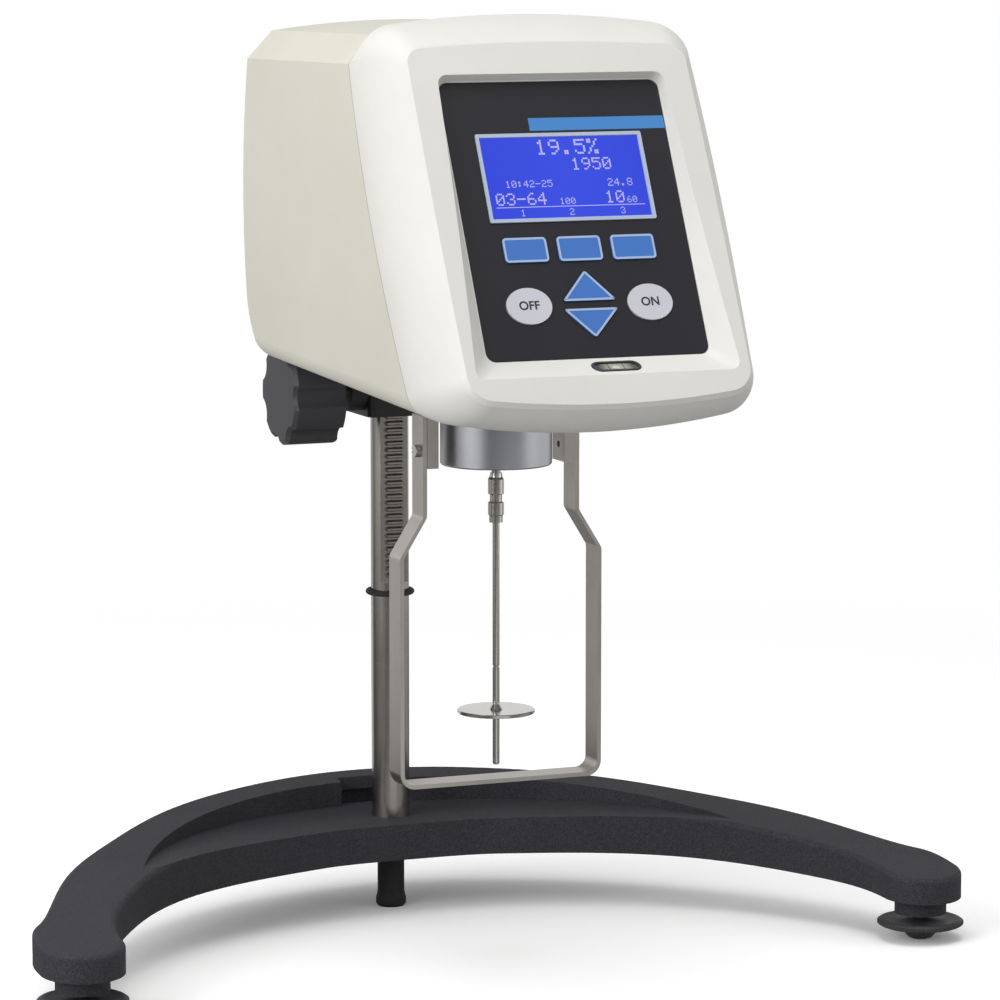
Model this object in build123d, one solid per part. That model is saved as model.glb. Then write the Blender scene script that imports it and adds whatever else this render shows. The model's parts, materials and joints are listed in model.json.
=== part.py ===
from build123d import *
import math
import os

# Benchtop rotational viscometer on a rack stand.
# Millimetres, +Z up, the front of the instrument faces -Y.
# The origin is on the bench, on the axis of the upright rod.

# ---- driving dimensions: stand ----
under_mid = 28.2          # underside of the casting at the rod axis
under_slope = 0.05        # fall of the underside towards the front
top_mid = 52.5            # top of the casting at the rod axis
top_slope = 0.12          # fall of the top towards the front
deck_z = 44.0             # level deck that the rod stands on
deck_back_r = 157.5       # radius of the rim wall behind the deck
deck_back_y = 28.0        # rim wall on the centre line
arm_x = 202.3             # levelling foot, sideways from the centre line
arm_y = -158.0            # levelling foot, fore and aft
tip_r = 18.7              # round end of each arm
rim_wall = 5.0            # wall of the hollow casting
rim_roof = 6.0            # roof of the hollow casting
edge_r = 2.2              # rounded top edge of the casting
rib_x, rib_t = 110.0, 4.0 # cross rib under each arm

rod_r = 9.0               # upright rod
rod_length = 356.0
rod_spigot_r = 6.0        # turned-down end that locates the rod in the base
rod_spigot_l = 10.0
rack_module = 1.0
rack_tip_y = 8.0          # rod axis to the tips of the rack teeth
rack_half = 4.0           # half width of the teeth
rack_bottom_z = 157.0
rack_teeth = 74
ring_section_r = 1.25     # section of the height marker ring
ring_z = 152.0

boss_r = 12.0             # boss under each arm tip
boss_bottom = 12.3
thread_r = 4.0            # levelling screw
wheel_r = 20.0
stud_l = 13.0             # thread above the wheel
wheel_t = 3.4
wheel_top = 9.6
pad_r = 7.0
rear_foot_r = 7.2

# ---- driving dimensions: clamp ----
pinion_teeth = 12
pinion_w = 10.0
shaft_r = 4.0             # pinion shaft
knob_r = 24.0
knob_w = 25.0
knob_x = -35.0            # inner face of the lift knob
lift_z = 250.0            # axis of the pinion
clamp_bottom = 238.0
clamp_waist = 14.0        # narrow lower part, above the pinion axis
clamp_half = 19.0
clamp_right = 32.0
clamp_back = 15.0
mount_x = 19.5            # axis of the head's mounting rod
mount_z = 285.0
clamp_top = mount_z + 18.0
mount_r = 6.0
head_gap = 2.5            # between the clamp and the back of the head

# ---- driving dimensions: head ----
spindle_y = -133.3
half_w = 79.0             # half width of the head
side_bulge = 3.5
head_back = -20.0
front_ref = -250.0
top_front, top_back = 427.0, 422.5
low_front, low_back = 254.5, 264.0
crown_t, crown_b = 6.0, 7.0
skin = 3.0                # wall of the mouldings
floor_z = 270.0           # flat inside floor of the rear cover
lean = 26.6               # keypad panel, from vertical
panel_y, panel_z = -220.6, 343.9
panel_w, panel_h, panel_t = 101.6, 127.0, 2.0
seam = 32.0               # seam between bezel and cover, behind the panel
face_lean = 28.0          # front face of the bezel
face_half = 66.7
face_out = 6.2            # bezel face in front of the panel, mid height
face_top, face_low = 81.7, -89.0
edge_roll = 2.0           # rolled edge round the bezel face
board_w = 24.0            # control board behind the panel
board_x, board_y = 51.5, 58.5
board_t = 1.6
key_travel = 0.5
key_gap = 0.35            # between a key and its hole
key_proud = 0.7
key_flange = 1.4          # back of a key's flange, behind the panel

inlet_x, inlet_z = -42.0, 318.0
switch_z = 348.0

# ---- driving dimensions: measuring gear ----
cup_r = 25.0
cup_bottom = 228.5
leg_y = spindle_y
leg_w = 13.4              # width of the guard leg strip
leg_t = 1.9
leg_upper = 35.6          # inner face of the upper legs
leg_lower = 46.6          # inner face of the lower legs
leg_bend_hi, leg_bend_lo = 206.8, 189.0
leg_foot = 85.0
leg_top = 252.0
nut_r, nut_top, nut_l = 3.6, 224.6, 22.4
stem_r = 1.59
disc_r, disc_t, disc_z = 17.345, 1.65, 116.8
spring_z = 286.0          # disc on the measuring shaft
spiral_z = 294.0          # underside of the calibrated spring
spiral_r, spiral_t, spiral_h = 13.0, 0.4, 3.0
tip_z = 92.3
fit = 0.05                # running fit, radial
free = 0.4                # clear air between parts that move

os.makedirs("parts", exist_ok=True)
made = []


def save(shape, name):
    export_step(shape, f"parts/{name}.step")
    made.append(name)


def cyl(r, z0, z1, x=0.0, y=0.0):
    return Pos(x, y, (z0 + z1) / 2) * Cylinder(r, z1 - z0)


def bar_x(r, x0, x1, y, z):
    return Pos((x0 + x1) / 2, y, z) * Rot(0, 90, 0) * Cylinder(r, x1 - x0)


def bar_y(r, y0, y1, x, z):
    return Pos(x, (y0 + y1) / 2, z) * Rot(90, 0, 0) * Cylinder(r, y1 - y0)


def block(x0, x1, y0, y1, z0, z1):
    return Pos((x0 + x1) / 2, (y0 + y1) / 2, (z0 + z1) / 2) * Box(x1 - x0, y1 - y0, z1 - z0)


def turned(points, x=0.0, y=0.0):
    # solid of revolution about a vertical axis, from (radius, height) points
    prof = Plane.XZ * make_face(Polyline(*points, close=True))
    return Pos(x, y, 0) * revolve(prof, Axis.Z)


def lean_plane(out, angle=lean):
    # plane parallel to the keypad panel, out millimetres in front of it
    a = math.radians(angle)
    n = (0, -math.cos(a), math.sin(a))
    p = math.radians(lean)
    o = (0, panel_y - out * math.cos(p), panel_z + out * math.sin(p))
    return Plane(origin=o, x_dir=(1, 0, 0), z_dir=n)


def bowed(half, top, low, ct, cb, bulge, rt, rb, cham=False):
    # rounded outline with four slightly bowed sides
    cx = half - bulge
    mid = (top + low) / 2
    t = ThreePointArc((-cx, top - ct), (0, top), (cx, top - ct))
    r = ThreePointArc((cx, top - ct), (half, mid), (cx, low + cb))
    b = ThreePointArc((cx, low + cb), (0, low), (-cx, low + cb))
    l = ThreePointArc((-cx, low + cb), (-half, mid), (-cx, top - ct))
    f = make_face(Wire([t, r, b, l]))
    hi = f.vertices().group_by(Axis.Y)[-1]
    if cham:
        f = chamfer(hi, rt)
    else:
        f = fillet(hi, rt)
    lo = f.vertices().group_by(Axis.Y)[0]
    return fillet(lo, rb)


# =====================================================================
# Stand
# =====================================================================
back_edge = [(0, 46.5), (60, 35), (112, 7), (150, -29.5), (185, -74),
             (arm_x + 10.5, -128), (arm_x + tip_r, arm_y)]
front_edge = [(arm_x - tip_r, arm_y), (168, -111), (140, -74), (100, -46), (50, -29.5), (0, -25)]


def moved_in(pts, d, s, first, last):
    # the points of one edge, moved d to the right of their direction of travel
    out = []
    for i, p in enumerate(pts):
        a, b = pts[max(i - 1, 0)], pts[min(i + 1, len(pts) - 1)]
        t = (b[0] - a[0], b[1] - a[1])
        if i == 0:
            t = first
        if i == len(pts) - 1:
            t = last
        k = d / math.hypot(*t)
        out.append((s * (p[0] + t[1] * k), p[1] - t[0] * k))
    return out


def crescent(inset=0.0):
    # plan of the casting: two arms that sweep forward from the rod
    edges = []
    for s in (1, -1):
        r = tip_r - inset
        back = moved_in(back_edge, inset, s, (1, 0), (0, -1))
        front = moved_in(front_edge, inset, s, (0, 1), (-1, 0))
        edges.append(Spline(*back, tangents=((s, 0), (0, -1))))
        edges.append(ThreePointArc(back[-1], (s * arm_x, arm_y - r), front[0]))
        edges.append(Spline(*front, tangents=((0, 1), (-s, 0))))
    return make_face(Wire(edges))


def wedge(z_mid, slope, up):
    # everything above (or below) a plane that falls towards the front
    big = 700.0
    a = math.atan(slope)
    h = 200.0
    w = Pos(0, 0, z_mid) * Rot(math.degrees(a), 0, 0) * Pos(0, 0, h / 2 if up else -h / 2)
    return w * Box(big, big, h)


def make_base():
    body = extrude(crescent(), 80)
    body -= wedge(top_mid, top_slope, True)
    body -= wedge(under_mid, under_slope, False)
    top = body.faces().filter_by(lambda f: f.normal_at().Z > 0.9).sort_by(Axis.Z)[-1]
    body = fillet(top.edges(), edge_r)
    # level deck with a curved rim wall behind it
    yc = deck_back_y - deck_back_r
    deck = cyl(deck_back_r, deck_z, 80, 0, yc) & block(-250, 250, -120, 60, deck_z, 80)
    body -= deck
    # square notch in the rim behind the rod
    body -= block(-15, 15, 10, 34, deck_z, 80)
    # hollow underside with cross ribs
    hollow = extrude(crescent(rim_wall), 80)
    hollow -= wedge(top_mid - rim_roof, top_slope, True)
    hollow -= block(-250, 250, -120, 34, deck_z - rim_roof, 80)
    for x in (-rib_x, rib_x):
        hollow -= block(x - rib_t / 2, x + rib_t / 2, -200, 60, 0, 80)
    hollow -= cyl(16, 0, 80)
    for s in (-1, 1):
        hollow -= cyl(boss_r + 1, 0, 80, s * arm_x, arm_y)
    body -= hollow
    for s in (-1, 1):
        body += cyl(boss_r, boss_bottom, under_mid - 2, s * arm_x, arm_y)
        body -= cyl(thread_r + fit, 0, wheel_top + stud_l + 3, s * arm_x, arm_y)
    # seat of the rod: bore for the spigot, hole for the screw
    body -= cyl(rod_spigot_r + fit, deck_z - rod_spigot_l - 1, 80)
    body -= cyl(3.3, 0, 80)
    body -= cyl(8.0, 0, under_mid + 1.2)
    return body


def make_rod():
    top = deck_z + rod_length
    rod = cyl(rod_r, deck_z, top) + cyl(rod_spigot_r, deck_z - rod_spigot_l, deck_z)
    rod = chamfer(rod.edges().filter_by(GeomType.CIRCLE).group_by(Axis.Z)[-1], 1.2)
    pitch = math.pi * rack_module
    rack_len = rack_teeth * pitch
    depth = 2.2 * rack_module
    root = rack_tip_y - depth
    # flat along the teeth, down to their roots
    rod -= block(-20, 20, -20, -root, rack_bottom_z, rack_bottom_z + rack_len)
    # the teeth stand on the flat; one tooth space lies level with the pinion
    t = math.tan(math.radians(20))
    w = pitch / 4
    foot, tip = w + (depth - rack_module) * t, w - rack_module * t
    first = lift_z + pitch / 2 - math.floor((lift_z - rack_bottom_z) / pitch) * pitch
    pts = [(-root, rack_bottom_z)]
    z = first
    while z < rack_bottom_z + rack_len - foot:
        pts += [(-root, z - foot), (-rack_tip_y, z - tip), (-rack_tip_y, z + tip), (-root, z + foot)]
        z += pitch
    pts += [(-root, z - pitch + 2 * foot), (-root + 2, z - pitch + 2 * foot), (-root + 2, rack_bottom_z)]
    comb = Plane.YZ * make_face(Polyline(*pts, close=True))
    rod += Pos(-rack_half, 0, 0) * extrude(comb, 2 * rack_half)
    rod -= cyl(2.5, deck_z - rod_spigot_l - 1, deck_z + 20)
    return rod


def make_ring():
    # rubber ring, eight-sided in section
    c, r = rod_r + fit + ring_section_r, ring_section_r
    a = [math.pi / 8 + i * math.pi / 4 for i in range(8)]
    k = r / math.cos(math.pi / 8)
    return turned([(c + k * math.cos(t), ring_z + k * math.sin(t)) for t in a])


def make_wheel(s):
    # wheel on the levelling screw
    low, c = wheel_top - wheel_t, 1.2
    body = turned([(0, low), (wheel_r - c, low), (wheel_r, low + c), (wheel_r, wheel_top - c),
                   (wheel_r - c, wheel_top), (0, wheel_top)])
    body = Pos(s * arm_x, arm_y) * body
    body += cyl(thread_r, wheel_top - 0.1, wheel_top + stud_l, s * arm_x, arm_y)
    body -= cyl(2.6, 0, wheel_top - 1.0, s * arm_x, arm_y)
    return body


def make_pad(s):
    z = wheel_top - wheel_t - 0.35
    dome = turned([(0, 0), (3.5, 0), (5.5, 0.8), (pad_r, 2.4), (pad_r, 3.6), (5.0, z), (2.3, z),
                   (2.3, wheel_top - 1.5), (0, wheel_top - 1.5)], s * arm_x, arm_y)
    return dome


def make_rear_foot():
    # rubber foot pressed over the head of the base screw
    z = under_mid - 0.9
    h = z - 6.5
    return turned([(0, 0), (rear_foot_r - 1, 0), (rear_foot_r, 1.2), (rear_foot_r, 4),
                   (rear_foot_r - 0.8, 7), (rear_foot_r - 0.8, z), (4.6, z), (4.6, h),
                   (0, h)])


def make_base_screw():
    z = under_mid + 1.2
    return turned([(0, z - 7), (3.6, z - 7), (4.3, z - 6.2), (4.3, z - 1.8), (6.8, z - 1.8),
                   (6.8, z), (2.4, z), (2.4, deck_z + 6), (0, deck_z + 6)])


# =====================================================================
# Clamp
# =====================================================================
def pinion_y():
    return -(rack_tip_y - rack_module + pinion_teeth * rack_module / 2)


def make_clamp():
    py = pinion_y()
    low = block(-clamp_half, clamp_half, py - 11, clamp_back, clamp_bottom, lift_z + clamp_waist)
    high = block(-clamp_half, clamp_right, head_back + head_gap, clamp_back, lift_z + clamp_waist
                 - 6, clamp_top)
    body = low + high
    body = fillet(body.edges().filter_by(Axis.Z), 3)
    body += bar_x(9.5, -clamp_half - 8, -clamp_half + 1, py, lift_z)
    body -= cyl(rod_r + fit, clamp_bottom - 9, clamp_top + 9)
    # hollow for the pinion, open to the rack
    body -= bar_x(7.8, -pinion_w / 2 - 0.5, pinion_w / 2 + 0.5, py, lift_z)
    body -= bar_x(shaft_r + fit, -60, clamp_half - 4, py, lift_z)
    # bore and slit for the mounting rod
    body -= bar_y(mount_r + fit, -60, clamp_back - 4, mount_x, mount_z)
    body -= block(mount_x - 0.8, mount_x + 0.8, -60, 60, mount_z, clamp_top + 9)
    # bore for the tension screw, from the right
    body -= bar_x(3.0 + fit, rod_r + 2, 60, 3.0, lift_z)
    return body


def gear_blank(teeth, m, w):
    # pinion profile with straight flanks and backlash
    pr = teeth * m / 2
    pts = []
    tip, root = pr + 0.8 * m, pr - 1.15 * m
    half_pitch = math.pi / teeth / 2
    slack = 0.16 / pr
    for i in range(teeth):
        a = 2 * math.pi * i / teeth
        for rad, da in ((root, half_pitch * 1.45 - slack), (pr, half_pitch - slack),
                        (tip, half_pitch * 0.42 - slack / 2)):
            pts.append((rad, a - da))
        for rad, da in ((tip, half_pitch * 0.42 - slack / 2), (pr, half_pitch - slack),
                        (root, half_pitch * 1.45 - slack)):
            pts.append((rad, a + da))
    xy = [(r * math.cos(a), r * math.sin(a)) for r, a in pts]
    return extrude(make_face(Polyline(*xy, close=True)), w)


def make_pinion():
    py = pinion_y()
    g = gear_blank(pinion_teeth, rack_module, pinion_w)
    # local X of the profile to +Y, so that one tooth points at the rod
    loc = Plane(origin=(-pinion_w / 2, py, lift_z), x_dir=(0, 1, 0), z_dir=(1, 0, 0))
    g = loc * g
    return g + bar_x(shaft_r, knob_x - 18, clamp_half - 4.4, py, lift_z)


def make_knob():
    # seven-lobed moulded knob, lobes tapering to the outer face
    py = pinion_y()
    n = 7
    prof = Circle(knob_r)
    cut = []
    for i in range(n):
        a = 2 * math.pi * (i + 0.5) / n
        cut.append(Pos((knob_r + 3.2) * math.cos(a), (knob_r + 3.2) * math.sin(a)) * Circle(6.2))
    prof = prof - cut
    prof = fillet(prof.vertices(), 2.0)
    body = extrude(prof, knob_w)
    ends = body.edges().group_by(Axis.Z)
    body = chamfer(ends[-1], 1.8)
    body -= Pos(0, 0, 3) * Cylinder(shaft_r, 40)
    body += Pos(0, 0, 21.5) * Cylinder(9, 3)
    body += Pos(0, 0, -2.4) * (Cylinder(10.5, 5) - Cylinder(shaft_r, 5))
    loc = Plane(origin=(knob_x, py, lift_z), x_dir=(0, 1, 0), z_dir=(-1, 0, 0))
    return loc * body


def make_tension_screw():
    # round-headed friction screw that presses on the rod
    y, z = 3.0, lift_z
    x0 = rod_r + 2.2
    x1 = clamp_half + 1.0
    s = bar_x(3.0, x0, x1, y, z)
    head = bar_x(8.0, x1, x1 + 9, y, z)
    head = chamfer(head.edges().filter_by(GeomType.CIRCLE), 0.8)
    return s + head


def make_mount_rod():
    # rod that carries the head, with its jam nut on the back of the chassis
    rod = bar_y(mount_r, -66, clamp_back - 4.4, mount_x, mount_z)
    nut = Pos(mount_x, -42, mount_z) * Rot(90, 0, 0) * extrude(RegularPolygon(10, 6), 5)
    return rod + nut


# =====================================================================
# Head mouldings
# =====================================================================
def head_block(inset=0.0):
    # block that both mouldings are cut from
    def sec(y, top, low):
        f = bowed(half_w - inset, top - inset, low + inset, crown_t, crown_b, side_bulge,
                  11.0 - inset, 9.0 - inset / 2, True)
        return Plane(origin=(0, y, 0), x_dir=(1, 0, 0), z_dir=(0, -1, 0)) * f
    return loft([sec(head_back - inset, top_back, low_back),
                 sec(front_ref - 30, top_front, low_front)], ruled=True)


def side_profile(inset=0.0):
    # side view: upright back, large radius under the back edge
    y1 = head_back - inset
    p = block(-half_w - 9, half_w + 9, front_ref - 80, y1, low_front - 24, top_front + 13)
    r = 36.0 - inset
    z0 = low_back + inset - 2
    corner = block(-half_w - 10, half_w + 10, y1 - r, y1 + 1, z0 - 60, z0 + r)
    corner -= bar_x(r, -half_w - 20, half_w + 20, y1 - r, z0 + r)
    return p - corner


def make_rear_cover():
    body = head_block() & side_profile()
    cut = lean_plane(-seam)
    body = split(body, cut, keep=Keep.BOTTOM)
    rear = body.faces().sort_by(Axis.Y)[-1]
    outer = body
    inner = head_block(skin) & side_profile(skin)
    inner -= block(-120, 120, -400, 0, 200, floor_z)
    body = outer - inner
    # openings in the floor: pivot cup, guard leg brackets
    body -= cyl(cup_r + free, 240, 290, 0, spindle_y)
    for s in (-1, 1):
        x0, x1 = sorted((s * 29.9, s * 35.7))
        body -= block(x0, x1, leg_y - 7.3, leg_y + 7.3, 240, 290)
    # bore for the mounting rod and the jam nut's washer face
    body -= bar_y(mount_r + 0.3, -120, 10, mount_x, mount_z)
    # openings in the back: mains inlet and switch
    body -= block(inlet_x - 14, inlet_x + 14, -30, 0, inlet_z - 10, inlet_z + 10)
    body -= block(inlet_x - 10.3, inlet_x + 10.3, -30, 0, switch_z - 7.3, switch_z + 7.3)
    return body, outer


def make_bezel(outer):
    a = outer.faces().filter_by(lambda f: f.normal_at().Y < -0.7).sort_by(Axis.Y)[0]
    mid = lean_plane(-14.0) * bowed(half_w - 2.2, face_top + 19.8, face_low - 2.5, crown_t, 8.0, 3.0, 17, 18)
    fp = lean_plane(face_out, face_lean)
    near = fp.offset(-edge_roll) * bowed(face_half, face_top, face_low, 2.5, 5.0, 0.6, 9, 13)
    q = 0.8 * edge_roll
    front = fp * bowed(face_half - q, face_top - q, face_low + q, 2.5, 5.0, 0.6, 9 - q, 13 - q)
    return loft([a, mid, near]) + loft([near, front], ruled=True)


def rounded_rect(w, h, r):
    return RectangleRounded(w, h, r)


def make_front(outer):
    body = make_bezel(outer)
    # cavity behind the face wall
    c0 = lean_plane(-seam - 1) * bowed(half_w - 3.5, face_top + 18.8, face_low + 17.0,
                                       crown_t, 2.0, 3.0, 12, 8)
    c1 = lean_plane(-5.5) * bowed(face_half - 3.2, face_top - 1.7, face_low + 15.0, 2.0, 2.0, 1.0, 10, 8)
    body -= loft([c0, c1], ruled=True)
    # recess that flares from the panel to the face
    r0 = lean_plane(-panel_t) * rounded_rect(panel_w + 0.6, panel_h + 0.6, 4.3)
    body -= extrude(r0, panel_t + 0.05)
    flare0 = trapezoid(panel_w / 2 + ledge_gap, panel_h / 2 + ledge_gap,
                       panel_w / 2 + ledge_gap, -panel_h / 2 - ledge_gap)
    flare1 = trapezoid(panel_w / 2 + 2.8, panel_h / 2 + 3.5, panel_w / 2 + 12.2, -panel_h / 2 - ledge_drop)
    body -= loft([lean_plane(0) * flare0, lean_plane(ledge_out) * flare1], ruled=True)
    # window behind the panel
    win = lean_plane(-12) * rounded_rect(panel_w - 8, panel_h - 8, 3)
    body -= extrude(win, 12)
    # bosses that carry the control board
    for x in (-board_x, board_x):
        for y in (-board_y, board_y):
            body += extrude(lean_plane(-board_w) * (Pos(x, y) * Circle(3.2)), board_w - 5)
    # seat of the level in the ledge
    body -= level_slot(0.3, -level_deep - 0.3, 12)
    return body


def trapezoid(xt, yt, xb, yb):
    f = make_face(Polyline((-xb, yb), (xb, yb), (xt, yt), (-xt, yt), close=True))
    return fillet(f.vertices(), 4.5)


# the ledge under the panel, and the slot-shaped level set flush in it
ledge_out, ledge_drop, ledge_gap = 10.0, 13.2, 0.6
level_x, level_w, level_h, level_deep = 5.0, 22.0, 7.6, 5.0
level_rim, level_at = 1.0, 0.4      # wall, and place along the ledge


def ledge_point(share):
    # depth and height of a point on the ledge, 0 at the panel and 1 at its outer end
    a, out = math.radians(lean), share * ledge_out
    d = panel_h / 2 + ledge_gap + share * (ledge_drop - ledge_gap)
    return (panel_y - d * math.sin(a) - out * math.cos(a), panel_z - d * math.cos(a) + out * math.sin(a))


def ledge_plane(lift):
    # plane parallel to the ledge, lifted off it, with its origin at the level
    (y0, z0), (y1, z1), (y, z) = ledge_point(0), ledge_point(1), ledge_point(level_at)
    normal = Vector(0, z1 - z0, y0 - y1).normalized()
    return Plane(origin=Vector(level_x, y, z) + normal * lift, x_dir=(1, 0, 0), z_dir=normal)


def level_slot(grow, low, high):
    f = SlotOverall(level_w + 2 * grow, level_h + 2 * grow)
    return extrude(ledge_plane(low) * f, high - low)


def make_level():
    ring = level_slot(0, -level_deep, 0.3)
    ring -= level_slot(-level_rim, level_rim - level_deep, 5)
    vial = level_slot(-level_rim - 0.3, level_rim + 0.2 - level_deep, -0.3)
    return ring, vial


# =====================================================================
# Keypad
# =====================================================================
soft_x = (-24.8, 0.0, 24.8)
soft_y, soft_w, soft_h = -14.0, 20.0, 11.2
round_x, round_y = 27.8, -39.4
round_a, round_b = 10.3, 8.2
up_tip, up_base, up_half = -24.1, -37.8, 12.3
down_base, down_tip, down_half = -41.4, -54.6, 12.6
lcd_x, lcd_top, lcd_low = 38.4, 39.4, -1.3
lcd_border, lcd_lap = 1.6, 0.9      # frame round the display, and its lap on the panel


def key_shapes(grow=0.0):
    g = grow
    out = {}
    for x, n in zip(soft_x, ("left", "middle", "right")):
        out["soft_key_" + n] = Pos(x, soft_y) * RectangleRounded(soft_w + 2 * g, soft_h + 2 * g,
                                                                 1.6 + g)
    for s, n in ((-1, "left"), (1, "right")):
        out["round_key_" + n] = Pos(s * round_x, round_y) * Ellipse(round_a + g, round_b + g)
    up = make_face(Polyline((0, up_tip), (-up_half, up_base), (up_half, up_base), close=True))
    dn = make_face(Polyline((0, down_tip), (down_half, down_base), (-down_half, down_base),
                            close=True))
    up, dn = fillet(up.vertices(), 1.2), fillet(dn.vertices(), 1.2)
    out["up_key"] = offset(up, g) if g else up
    out["down_key"] = offset(dn, g) if g else dn
    return out


def make_panel():
    body = extrude(lean_plane(-panel_t) * rounded_rect(panel_w, panel_h, 4.0), panel_t)
    for f in key_shapes(key_gap).values():
        body -= extrude(lean_plane(-panel_t - 1) * f, panel_t + 2)
    cy, h = (lcd_top + lcd_low) / 2, lcd_top - lcd_low
    win = Pos(0, cy) * Rectangle(2 * lcd_x - 2 * lcd_lap, h - 2 * lcd_lap)
    body -= extrude(lean_plane(-panel_t - 1) * win, panel_t + 2)
    return body


def make_keys():
    # each key: a cap in its hole and a flange behind the panel
    caps, flanges, out = key_shapes(), key_shapes(0.9), {}
    for n, f in caps.items():
        cap = extrude(lean_plane(-panel_t - 1.2) * f, panel_t + 1.2 + key_proud)
        fl = extrude(lean_plane(-panel_t - key_flange) * flanges[n], 1.0)
        out[n] = cap + fl
    return out


def make_display():
    cy, h = (lcd_top + lcd_low) / 2, lcd_top - lcd_low
    outer = Pos(0, cy) * RectangleRounded(2 * lcd_x, h, 0.8)
    inner, neck, pane = [Pos(0, cy) * Rectangle(2 * (lcd_x - d), h - 2 * d)
                         for d in (lcd_border, lcd_lap + 0.2, lcd_border + 0.2)]
    frame = extrude(lean_plane(0) * outer, 0.6) + extrude(lean_plane(-panel_t) * neck, panel_t)
    frame -= extrude(lean_plane(-panel_t - 1) * inner, panel_t + 3)
    glass = extrude(lean_plane(-1.4) * pane, 1.2)
    module = extrude(lean_plane(-10.0) * (Pos(0, cy) * Rectangle(2 * lcd_x + 4, h + 8)), 5.5)
    for x in (-lcd_x + 2, lcd_x - 2):
        for y in (cy - h / 2 - 1, cy + h / 2 + 1):
            module += extrude(lean_plane(-board_w) * (Pos(x, y) * Circle(2.2)), board_w - 9)
    return frame, glass, module


# =====================================================================
# Measuring gear
# =====================================================================
def make_cup():
    y = spindle_y
    p = [(2.6 + fit, cup_bottom - 2.6), (4.4, cup_bottom - 2.6), (8.5, cup_bottom), (cup_r - 0.6,
         cup_bottom), (cup_r, cup_bottom + 0.6), (cup_r, floor_z), (20, floor_z),
         (20, cup_bottom + 4), (2.6 + fit, cup_bottom + 4)]
    return turned(p, 0, y)


def make_lower_shaft():
    return turned([(0, nut_top - 8), (1.6, nut_top - 8), (2.0, nut_top - 7), (2.0, cup_bottom + 1),
                   (2.6, cup_bottom + 1), (2.6, cup_bottom + 4.4),
                   (2.0, cup_bottom + 5), (2.0, spiral_z + 4.5), (0, spiral_z + 4.5)], 0,
                  spindle_y)


def make_nut():
    b = nut_top - nut_l
    p = [(2.05, b + 14), (2.05, nut_top), (2.6, nut_top), (nut_r - 0.6, nut_top - 2), (nut_r,
         nut_top - 3), (nut_r, nut_top - 9.5), (nut_r - 0.8, nut_top - 10), (nut_r - 0.8,
         nut_top - 13), (nut_r, nut_top - 13.5), (nut_r, b + 3.5), (nut_r - 0.5, b + 3),
         (nut_r - 0.5, b), (1.65, b), (1.65, b + 6), (2.05, b + 6.5)]
    return turned(p, 0, spindle_y)


def make_spindle():
    b = nut_top - nut_l
    h = disc_t / 2
    p = [(0, tip_z), (stem_r - 0.4, tip_z), (stem_r, tip_z + 0.5), (stem_r, disc_z - h - 2.2),
         (3.0, disc_z - h), (disc_r - 0.3, disc_z - h), (disc_r, disc_z - h + 0.3), (disc_r,
         disc_z + h - 0.3), (disc_r - 0.3, disc_z + h), (3.0, disc_z + h), (stem_r, disc_z + h
         + 2.2), (stem_r, 136.2), (stem_r - 0.3, 136.4), (stem_r - 0.3, 137.2), (stem_r, 137.4),
         (stem_r, b + 11), (0, b + 11)]
    return turned(p, 0, spindle_y)


def make_leg():
    # bent strip that guards the spindle
    def path(out):
        u, l, f = leg_upper + out, leg_lower + out, leg_foot + leg_t - out
        return [(-u, leg_top), (-u, leg_bend_hi), (-l, leg_bend_lo), (-l, f), (l, f),
                (l, leg_bend_lo), (u, leg_bend_hi), (u, leg_top)]
    pts_o, pts_i = path(leg_t), path(0.0)
    o = make_face(Polyline(*pts_o, close=True))
    i = make_face(Polyline(*pts_i, close=True))
    o = fillet(o.vertices().group_by(Axis.Y)[0], 7.0)
    i = fillet(i.vertices().group_by(Axis.Y)[0], 7.0 - leg_t)
    o = fillet([v for v in o.vertices() if leg_bend_lo - 1 < v.Y < leg_bend_hi + 1], 4.0)
    i = fillet([v for v in i.vertices() if leg_bend_lo - 1 < v.Y < leg_bend_hi + 1], 4.0)
    f = o - i
    p = Plane(origin=(0, leg_y + leg_w / 2, 0), x_dir=(1, 0, 0), z_dir=(0, -1, 0))
    body = extrude(p * f, leg_w)
    body -= bar_x(1.7, -60, 60, leg_y, 236)
    return body


def make_leg_bracket(s):
    x0, x1 = sorted((s * 30.2, s * (leg_upper - 0.05)))
    b = block(x0, x1, leg_y - 7.0, leg_y + 7.0, cup_bottom, floor_z)
    x0, x1 = sorted((s * 29, s * 40))
    return b - bar_x(1.5, x0, x1, leg_y, 236)


def make_leg_screw(s):
    x = leg_upper + leg_t
    a, b = sorted((s * (x - 6), s * x))
    shank = bar_x(1.45, a, b, leg_y, 236)
    head = Pos(s * x, leg_y, 236) * Rot(0, s * 90, 0) * (Pos(0, 0, 0.9) * Cylinder(2.8, 1.8)
                                                        - Pos(0, 0, 1.6) * Box(0.8, 6, 0.8))
    return shank + head


# =====================================================================
# Inside of the head
# =====================================================================
def make_chassis():
    plate = block(-46, 46, -186, -47, floor_z, floor_z + 5)
    plate = fillet(plate.edges().filter_by(Axis.Z), 8)
    plate -= cyl(8, 200, 300, 0, spindle_y)
    plate += block(mount_x - 13, mount_x + 13, -60, -47, floor_z + 5, mount_z + 12)
    plate -= bar_y(mount_r + fit, -80, 0, mount_x, mount_z)
    return plate


def make_motor():
    z = floor_z + 42
    body = cyl(24, z + 4, z + 40, 0, spindle_y)
    body += cyl(30, z + 1, z + 4, 0, spindle_y)
    body += cyl(8, z + 40, z + 43, 0, spindle_y)
    return body - cyl(3.0 + free, z - 10, z + 60, 0, spindle_y)


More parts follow.
